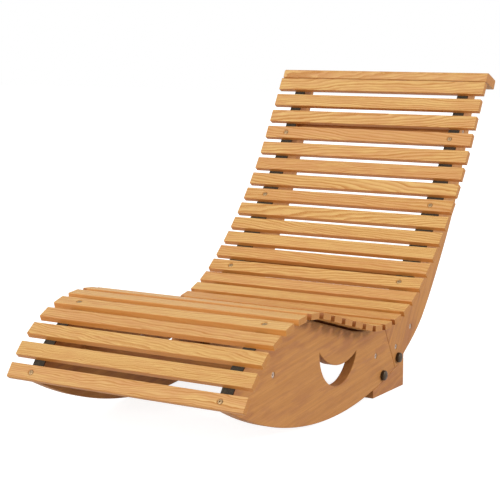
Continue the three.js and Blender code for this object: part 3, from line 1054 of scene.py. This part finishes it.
crossRails = {
    "rounding": 3 * mm,
    "endRounding": 0.6 * mm,
    "tone": 0.4,
    "seeds": {"front_rail": 71.2, "rear_rail": 74.9, "lumbar_rail": 77.7, "top_rail": 79.6},
}
roundings = [crossRails["rounding"]] * 4
for node, seed in crossRails["seeds"].items():
    board, place, _ = barPiece(
        node, "_board", roundings, crossRails["endRounding"], boardWood)
    layGrain(board, place, seed, crossRails["tone"])
    weighNormals(board)
print("cross rails built")


# Side boards and heel blocks: eased copies of the solids, each with its own grain direction

boards = {
    "kinds": {
        "seat_board": {"grainDegrees": 6, "ease": 2.0 * mm, "seed": 21.4},
        "back_board": {"grainDegrees": 58, "ease": 2.0 * mm, "seed": 33.8},
        "heel_block": {"grainDegrees": 12, "ease": 1.8 * mm, "seed": 47.1},
    },
    "seedStep": 3.3,
    "tone": 0.4,
    "weld": 0.02 * mm,
    "flatDegrees": 0.8,
    "edgeDegrees": 32,
    "creaseDegrees": 40,
    "segments": 3,
    "boreReach": 9 * mm,
}


def boxMiddle(node):
    low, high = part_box(node)
    return (low + high) / 2


boltNodes = sorted(name for name in frame["nodes"] if "bolt" in name)
boreCentres = [boxMiddle(node) for node in boltNodes]


def nearBore(point):
    gaps = (math.hypot(point.y - bore.y, point.z - bore.z) for bore in boreCentres)
    return any(gap < boards["boreReach"] for gap in gaps)


def easedCopy(node, ease):
    mesh = bmesh.new()
    mesh.from_mesh(frame["nodes"][node].data)
    bmesh.ops.remove_doubles(mesh, verts=mesh.verts[:], dist=boards["weld"])
    flat = math.radians(boards["flatDegrees"])
    bmesh.ops.dissolve_limit(mesh, angle_limit=flat, verts=mesh.verts[:], edges=mesh.edges[:])
    sharp = [
        edge for edge in mesh.edges
        if foldDegrees(edge) > boards["edgeDegrees"]
        and not all(nearBore(vertex.co) for vertex in edge.verts)
    ]
    bmesh.ops.bevel(
        mesh, geom=sharp, offset=ease, offset_type="OFFSET", segments=boards["segments"],
        profile=0.5, affect="EDGES", clamp_overlap=True)
    creaseEdges(mesh, boards["creaseDegrees"])
    return storeMesh(mesh, node + "_plank")


for kind, sizes in boards["kinds"].items():
    angle = math.radians(sizes["grainDegrees"])
    along = Vector((0, math.cos(angle), math.sin(angle)))
    for side, hand in hands:
        node = f"{kind}_{hand}"
        grain = Matrix((along, acrossSeat.cross(along), acrossSeat)).transposed().to_4x4()
        grain.translation = boxMiddle(node)
        mesh = easedCopy(node, sizes["ease"])
        plank = finishPiece(node + "_plank", mesh, boardWood, [node])
        layGrain(plank, grain, sizes["seed"] + boards["seedStep"] * side, boards["tone"])
        weighNormals(plank)
print("side boards and heel blocks eased")


# Webbing straps under the slats

straps = {
    "edgeRounding": 1.2 * mm,
    "cornerPoints": 4,
    "gap": 0.3 * mm,
    "thickness": 3 * mm,
    "shy": 7 * mm,
    "widthReach": 1.5 * mm,
}


def strapSection(half):
    rounding, thickness = straps["edgeRounding"], straps["thickness"]
    corners = (
        (half - rounding, -rounding, 0),
        (rounding - half, -rounding, 90),
        (rounding - half, rounding - thickness, 180),
        (half - rounding, rounding - thickness, 270),
    )
    return [
        (centreX + rounding * math.cos(angle), centreZ + rounding * math.sin(angle))
        for centreX, centreZ, start in corners
        for angle in quarterTurn(start, straps["cornerPoints"])
    ]


# The strap's line: both lower edges of each slat, and at the ends just short of the last ones
def strapLine():
    points = []
    for _, place, size in slatFrames:
        width, normal = place.col[1].to_3d(), place.col[2].to_3d()
        under = place.translation - normal * (size[2] / 2 + straps["gap"])
        points += [under - width * size[1] / 2, under + width * size[1] / 2]
    return points


# Half the strap's width at each point of its line, as its solid has it there
def strapHalves(node, points, middleX, widest):
    solid = [vertex.co for vertex in frame["nodes"][node].data.vertices]
    halves = []
    for point in points:
        near = [
            abs(v.x - middleX) for v in solid
            if math.hypot(v.y - point.y, v.z - point.z) < straps["widthReach"]
        ]
        halves.append(max(near, default=widest))
    return halves


# The strap runs straight from slat edge to slat edge; its threads are mapped along and around it
def strapMesh(node):
    low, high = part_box(node)
    middleX, widest = (low.x + high.x) / 2, (high.x - low.x) / 2
    points = strapLine()
    halves = strapHalves(node, points, middleX, widest)
    for end, inside in ((0, 1), (-1, -2)):
        points[end] += (points[inside] - points[end]).normalized() * straps["shy"]
    widestSection = strapSection(widest)
    girth = [0.0]
    for before, after in zip(widestSection, widestSection[1:] + widestSection[:1]):
        girth.append(girth[-1] + math.dist(before, after))
    mesh = bmesh.new()
    layer = mesh.loops.layers.uv.new("threads")
    loops, runs = [], [0.0]
    for i, (point, half) in enumerate(zip(points, halves)):
        tangent = (points[min(i + 1, len(points) - 1)] - points[max(i - 1, 0)]).normalized()
        normal = acrossSeat.cross(tangent)
        if i:
            runs.append(runs[-1] + (point - points[i - 1]).length)
        middle = Vector((middleX, point.y, point.z))
        loops.append([
            mesh.verts.new(middle + acrossSeat * x + normal * z) for x, z in strapSection(half)])
    count = len(widestSection)
    for k in range(len(loops) - 1):
        for i in range(count):
            j = (i + 1) % count
            face = mesh.faces.new((loops[k][i], loops[k + 1][i], loops[k + 1][j], loops[k][j]))
            corners = ((i, k), (i, k + 1), (i + 1, k + 1), (i + 1, k))
            for corner, (around, down) in zip(face.loops, corners):
                corner[layer].uv = (girth[around], runs[down])
    for loop in (loops[0], loops[-1]):
        face = mesh.faces.new(loop)
        for corner, spot in zip(face.loops, widestSection):
            corner[layer].uv = spot
    bmesh.ops.recalc_face_normals(mesh, faces=mesh.faces[:])
    return storeMesh(mesh, node + "_webbing")


for node in ("strap_left", "strap_right"):
    weighNormals(finishPiece(node + "_webbing", strapMesh(node), webbing, [node]))
print("straps built")


# Bolts

bolts = {
    "headRadius": 7 * mm,
    "headHeight": 3 * mm,
    "headEdge": 0.8 * mm,
    "headPoints": 4,
    "socketFlat": 2.1 * mm,
    "socketLip": 0.25 * mm,
    "socketDepth": 1.4 * mm,
    "socketMouth": 1.28,
    "socketFloor": 0.97,
    "shankRadius": 3 * mm,
    "cappedShank": 4 * mm,
    "tipLength": 1 * mm,
    "tipShare": 0.8,
    "nutFlat": 6.9 * mm,
    "nutCorner": 7.9 * mm,
    "nutHeight": 6.5 * mm,
    "nutChamfer": 0.9 * mm,
    "nutFace": 0.97,
    "nutMouth": ((0.9 * mm, 0.72), (0.7 * mm, 0.86), (0.9 * mm, 0.98), (0.0, 1.12)),
    "capRadius": 12 * mm,
    "capRim": 5.5 * mm,
    "capHeight": 10 * mm,
    "capSeat": 4 * mm,
    "capFace": 0.97,
    "capEdge": 0.4 * mm,
    "capShoulder": 0.5 * mm,
    "domeSteps": 8,
    "domeParts": 8.2,
    "domeBulge": 0.92,
}


def nutRings(start, shank):
    flat, corner, height = bolts["nutFlat"], bolts["nutCorner"], bolts["nutHeight"]
    chamfer, face = bolts["nutChamfer"], bolts["nutFace"]
    mouth = [(start + depth, shank * share, "round") for depth, share in bolts["nutMouth"]]
    return mouth + [
        (start, flat * face, "round"),
        (start + chamfer, (flat, corner), "nut"),
        (start + height - chamfer, (flat, corner), "nut"),
        (start + height, flat * face, "round"),
        (start + height, shank, "round"),
    ]


def headRings(top):
    radius, edge, height = bolts["headRadius"], bolts["headEdge"], bolts["headHeight"]
    socket = bolts["socketFlat"]
    rim = [
        (top - edge * (1 - math.sin(angle)), radius - edge * (1 - math.cos(angle)), "round")
        for angle in quarterTurn(0, bolts["headPoints"])
    ]
    return [
        (top - height, bolts["shankRadius"], "round"),
        (top - height, radius, "round"),
        *rim,
        (top, socket * bolts["socketMouth"], "round"),
        (top - bolts["socketLip"], socket, "hex"),
        (top - bolts["socketDepth"], socket * bolts["socketFloor"], "hex"),
    ]


def capRings(seat):
    radius, rim, height = bolts["capRadius"], bolts["capRim"], bolts["capHeight"]
    rings = [
        (seat, bolts["capSeat"], "round"),
        (seat, radius * bolts["capFace"], "round"),
        (seat + bolts["capEdge"], radius, "round"),
        (seat + rim - bolts["capShoulder"], radius, "round"),
    ]
    for step in range(1, bolts["domeSteps"] + 1):
        angle = math.radians(90 * step / bolts["domeParts"])
        dome = radius * math.cos(angle) ** bolts["domeBulge"]
        rings.append((seat + rim + (height - rim) * math.sin(angle), dome, "round"))
    return rings


def boltRings(node, inner, outer):
    shank = bolts["shankRadius"]
    if "capped" in node:
        return nutRings(inner, bolts["cappedShank"]) + capRings(outer - bolts["capHeight"])
    if "joint" in node:
        return nutRings(inner, shank) + headRings(outer)
    tipRadius = shank * bolts["tipShare"]
    tip = [(inner, tipRadius, "round"), (inner + bolts["tipLength"], shank, "round")]
    return tip + headRings(outer)


for node in boltNodes:
    low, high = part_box(node)
    side = 1 if node.endswith("right") else -1
    inner, outer = (low.x, high.x) if side > 0 else (-high.x, -low.x)
    origin = (inner + outer) / 2
    rings = [(x - origin, radius, shape) for x, radius, shape in boltRings(node, inner, outer)]
    place = Matrix.Translation((side * origin, (low.y + high.y) / 2, (low.z + high.z) / 2))
    if side < 0:
        place = place @ Matrix.Rotation(math.pi, 4, "Z")
    material, slotName = (capPlastic, "capped_steel") if "capped" in node else (boltSteel, "steel")
    mesh = turnedMesh(node + "_turned", rings)
    finishPiece(node + "_turned", mesh, material, [node], place)
print("bolts turned")


# Floor, light and view

studio = {
    "floorHalf": 14.0,
    "floorDrop": 0.2 * mm,
    "floorColor": (0.45, 0.45, 0.45, 1),
    "floorRoughness": 0.9,
    "floorGlow": 0.84,
    "skyStrength": 0.76,
    "lamps": {
        "frontSoftbox": {"strength": 1.50, "comesFrom": (-0.42, -0.83, 0.33), "spreadDegrees": 32},
        "sideLamp": {"strength": 1.08, "comesFrom": (0.85, 0.38, 0.34), "spreadDegrees": 12},
    },
}


# 1 where the view, or a mirroring or clear surface, looks at the spot, and 0 for other light
def seenStraight(tree):
    path = tree.nodes.new("ShaderNodeLightPath").outputs
    mirrored = mathNode(tree, "MAXIMUM", path["Is Glossy Ray"], path["Is Transmission Ray"])
    return mathNode(tree, "MAXIMUM", path["Is Camera Ray"], mirrored)


def buildFloor():
    half = studio["floorHalf"]
    corners = [(-half, -half, 0), (half, -half, 0), (half, half, 0), (-half, half, 0)]
    data = bpy.data.meshes.new("paleFloor")
    data.from_pydata(corners, [], [(0, 1, 2, 3)])
    floor = addObject("paleFloor", data)
    floor.location.z = -studio["floorDrop"]
    material, tree, shader = newMaterial("paleFloor")
    shader.inputs["Base Color"].default_value = studio["floorColor"]
    shader.inputs["Roughness"].default_value = studio["floorRoughness"]
    shader.inputs["Specular IOR Level"].default_value = 0.0
    glow = tree.nodes.new("ShaderNodeEmission")
    link(tree, times(tree, seenStraight(tree), studio["floorGlow"]), glow.inputs["Strength"])
    add = tree.nodes.new("ShaderNodeAddShader")
    link(tree, shader.outputs[0], add.inputs[0])
    link(tree, glow.outputs[0], add.inputs[1])
    link(tree, add.outputs[0], tree.nodes["Material Output"].inputs["Surface"])
    data.materials.append(material)


def buildSky():
    world = bpy.data.worlds.new("softStudio")
    bpy.context.scene.world = world
    world.use_nodes = True
    tree = world.node_tree
    background = tree.nodes["Background"]
    strength = studio["skyStrength"]
    level = plus(tree, strength, times(tree, seenStraight(tree), 1.0 - strength))
    background.inputs["Color"].default_value = (1, 1, 1, 1)
    link(tree, level, background.inputs["Strength"])


def buildLamp(name, lamp):
    data = bpy.data.lights.new(name, "SUN")
    data.energy = lamp["strength"]
    data.angle = math.radians(lamp["spreadDegrees"])
    sun = addObject(name, data)
    sun.rotation_euler = Vector(lamp["comesFrom"]).to_track_quat("Z", "Y").to_euler()


buildFloor()
buildSky()
for name, lamp in studio["lamps"].items():
    buildLamp(name, lamp)
bpy.context.scene.view_settings.view_transform = "Standard"
print("studio set")
